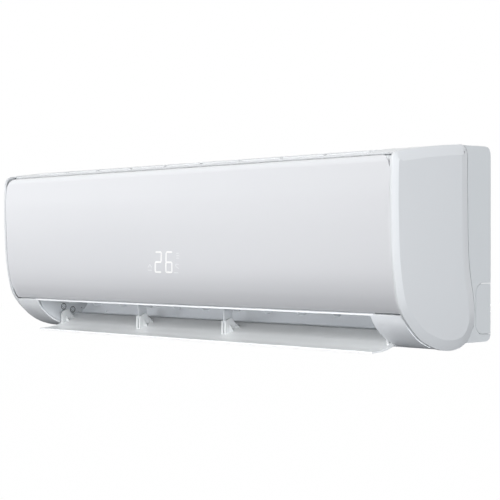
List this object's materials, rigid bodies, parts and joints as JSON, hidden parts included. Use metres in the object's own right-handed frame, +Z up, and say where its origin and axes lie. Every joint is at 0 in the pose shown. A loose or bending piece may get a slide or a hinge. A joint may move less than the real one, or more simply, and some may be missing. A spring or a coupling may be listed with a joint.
{
  "type": "mini split indoor unit",
  "caption": "Wall-mounted air conditioner indoor unit: curved pearl front panel, rounded end covers, long air vane open at the bottom, slatted top inlet and steel wall plate.",
  "frame": {"origin": "middle of the wall plate's back face, on the wall", "axes": "+X along the unit to the viewer's right, +Y into the wall, +Z up"},
  "size_m": [0.855, 0.2075, 0.2711],
  "materials": {
    "panel_pearl": "glossy pearl white moulding",
    "frame_white": "satin white moulding",
    "cover_white": "satin light grey-white moulding",
    "chassis_grey": "fine-grained light grey moulding",
    "grille_white": "satin white moulding",
    "vane_white": "semi-gloss cool white moulding",
    "duct_grey": "matt grey moulding",
    "galvanised": "galvanised sheet steel",
    "screw_steel": "zinc-plated steel",
    "motor_casing": "moulded resin",
    "fins": "thin aluminium fins",
    "copper": "drawn copper tube",
    "brass": "machined brass",
    "fan_black": "matt black moulding",
    "rubber": "soft black rubber",
    "board_green": "glass-fibre circuit board with parts",
    "filter_grey": "fine grey plastic mesh",
    "box_white": "flame-retardant moulding"
  },
  "bodies": {
    "chassis": {"front_frame": "frame_white", "inlet_grille": "grille_white", "side_cover_left": "cover_white", "side_cover_right": "cover_white", "knockout_plate_left": "chassis_grey", "knockout_plate_right": "chassis_grey", "rear_chassis": "chassis_grey", "wall_plate": "galvanised", "casing_screw_left": "screw_steel", "casing_screw_middle": "screw_steel", "casing_screw_right": "screw_steel", "vane_hanger_left": "vane_white", "vane_hanger_right": "vane_white", "vane_motor": "screw_steel", "louver_motor": "screw_steel", "outlet_end_left": "duct_grey", "outlet_end_right": "duct_grey", "drain_pan": "duct_grey", "drain_plug": "rubber", "fan_bearing": "rubber", "fan_motor": "motor_casing", "motor_clamp": "galvanised", "coil_slab_front_low": "fins", "coil_slab_front_high": "fins", "coil_slab_rear": "fins", "coil_tubes": "copper", "coil_end_plate_left": "galvanised", "coil_end_plate_right": "galvanised", "gas_pipe": "copper", "liquid_pipe": "copper", "gas_flare_nut": "brass", "liquid_flare_nut": "brass", "coil_sensor": "copper", "air_filter_left": "filter_grey", "air_filter_right": "filter_grey", "control_box": "box_white", "control_box_lid": "box_white", "circuit_board": "board_green", "terminal_block": "fan_black"},
    "panel": {"front_panel": "panel_pearl", "display_housing": "frame_white", "display_board": "board_green"},
    "vane": {"main_vane": "vane_white"},
    "fan": {"fan_rotor": "fan_black", "fan_shaft": "screw_steel", "motor_shaft": "screw_steel"},
    "link": {"louver_link": "duct_grey"},
    "crank": {"louver_crank": "duct_grey"},
    "button": {"emergency_button": "frame_white"},
    "louver_1": {"louver_1": "duct_grey"},
    "louver_2": {"louver_2": "duct_grey"},
    "louver_3": {"louver_3": "duct_grey"},
    "louver_4": {"louver_4": "duct_grey"},
    "louver_5": {"louver_5": "duct_grey"},
    "louver_6": {"louver_6": "duct_grey"},
    "louver_7": {"louver_7": "duct_grey"},
    "louver_8": {"louver_8": "duct_grey"},
    "louver_9": {"louver_9": "duct_grey"},
    "louver_10": {"louver_10": "duct_grey"},
    "louver_11": {"louver_11": "duct_grey"}
  },
  "joints": [
    {"name": "panel_hinge", "type": "hinge", "parent": "chassis", "child": "panel", "pos_m": [0, -0.193, 0.07], "axis": [-1, 0, 0], "range_deg": [0, 60]},
    {"name": "vane_swing", "type": "hinge", "parent": "chassis", "child": "vane", "pos_m": [0, -0.1253, -0.1482], "axis": [1, 0, 0], "range_deg": [-48, 20]},
    {"name": "fan_spin", "type": "hinge", "parent": "chassis", "child": "fan", "pos_m": [0, -0.095, -0.043], "axis": [1, 0, 0], "continuous": true},
    {"name": "link_slide", "type": "slide", "parent": "chassis", "child": "link", "axis": [1, 0, 0], "range_m": [-0.0058, 0.0058]},
    {"name": "crank_turn", "type": "hinge", "parent": "chassis", "child": "crank", "pos_m": [0.386, -0.15797, -0.10058], "axis": [0, 0.7702, -0.6378], "range_deg": [-25, 25]},
    {"name": "louver_1_turn", "type": "hinge", "parent": "chassis", "child": "louver_1", "pos_m": [-0.3198, -0.15797, -0.10058], "axis": [0, 0.7702, -0.6378], "range_deg": [-25, 25]},
    {"name": "louver_2_turn", "type": "hinge", "parent": "chassis", "child": "louver_2", "pos_m": [-0.25413, -0.15797, -0.10058], "axis": [0, 0.7702, -0.6378], "range_deg": [-25, 25]},
    {"name": "louver_3_turn", "type": "hinge", "parent": "chassis", "child": "louver_3", "pos_m": [-0.18846, -0.15797, -0.10058], "axis": [0, 0.7702, -0.6378], "range_deg": [-25, 25]},
    {"name": "louver_4_turn", "type": "hinge", "parent": "chassis", "child": "louver_4", "pos_m": [-0.12279, -0.15797, -0.10058], "axis": [0, 0.7702, -0.6378], "range_deg": [-25, 25]},
    {"name": "louver_5_turn", "type": "hinge", "parent": "chassis", "child": "louver_5", "pos_m": [-0.05712, -0.15797, -0.10058], "axis": [0, 0.7702, -0.6378], "range_deg": [-25, 25]},
    {"name": "louver_6_turn", "type": "hinge", "parent": "chassis", "child": "louver_6", "pos_m": [0.00855, -0.15797, -0.10058], "axis": [0, 0.7702, -0.6378], "range_deg": [-25, 25]},
    {"name": "louver_7_turn", "type": "hinge", "parent": "chassis", "child": "louver_7", "pos_m": [0.07422, -0.15797, -0.10058], "axis": [0, 0.7702, -0.6378], "range_deg": [-25, 25]},
    {"name": "louver_8_turn", "type": "hinge", "parent": "chassis", "child": "louver_8", "pos_m": [0.13989, -0.15797, -0.10058], "axis": [0, 0.7702, -0.6378], "range_deg": [-25, 25]},
    {"name": "louver_9_turn", "type": "hinge", "parent": "chassis", "child": "louver_9", "pos_m": [0.20556, -0.15797, -0.10058], "axis": [0, 0.7702, -0.6378], "range_deg": [-25, 25]},
    {"name": "louver_10_turn", "type": "hinge", "parent": "chassis", "child": "louver_10", "pos_m": [0.27123, -0.15797, -0.10058], "axis": [0, 0.7702, -0.6378], "range_deg": [-25, 25]},
    {"name": "louver_11_turn", "type": "hinge", "parent": "chassis", "child": "louver_11", "pos_m": [0.3369, -0.15797, -0.10058], "axis": [0, 0.7702, -0.6378], "range_deg": [-25, 25]},
    {"name": "button_press", "type": "slide", "parent": "chassis", "child": "button", "axis": [0, 1, 0], "range_m": [0, 0.0012], "stiffness_N_per_m": 200}
  ],
  "couplings": [
    {"joint": "crank_turn", "follows": "link_slide", "rad_per_m": 74.6},
    {"joint": "louver_1_turn", "follows": "link_slide", "rad_per_m": 74.6},
    {"joint": "louver_2_turn", "follows": "link_slide", "rad_per_m": 74.6},
    {"joint": "louver_3_turn", "follows": "link_slide", "rad_per_m": 74.6},
    {"joint": "louver_4_turn", "follows": "link_slide", "rad_per_m": 74.6},
    {"joint": "louver_5_turn", "follows": "link_slide", "rad_per_m": 74.6},
    {"joint": "louver_6_turn", "follows": "link_slide", "rad_per_m": 74.6},
    {"joint": "louver_7_turn", "follows": "link_slide", "rad_per_m": 74.6},
    {"joint": "louver_8_turn", "follows": "link_slide", "rad_per_m": 74.6},
    {"joint": "louver_9_turn", "follows": "link_slide", "rad_per_m": 74.6},
    {"joint": "louver_10_turn", "follows": "link_slide", "rad_per_m": 74.6},
    {"joint": "louver_11_turn", "follows": "link_slide", "rad_per_m": 74.6}
  ]
}
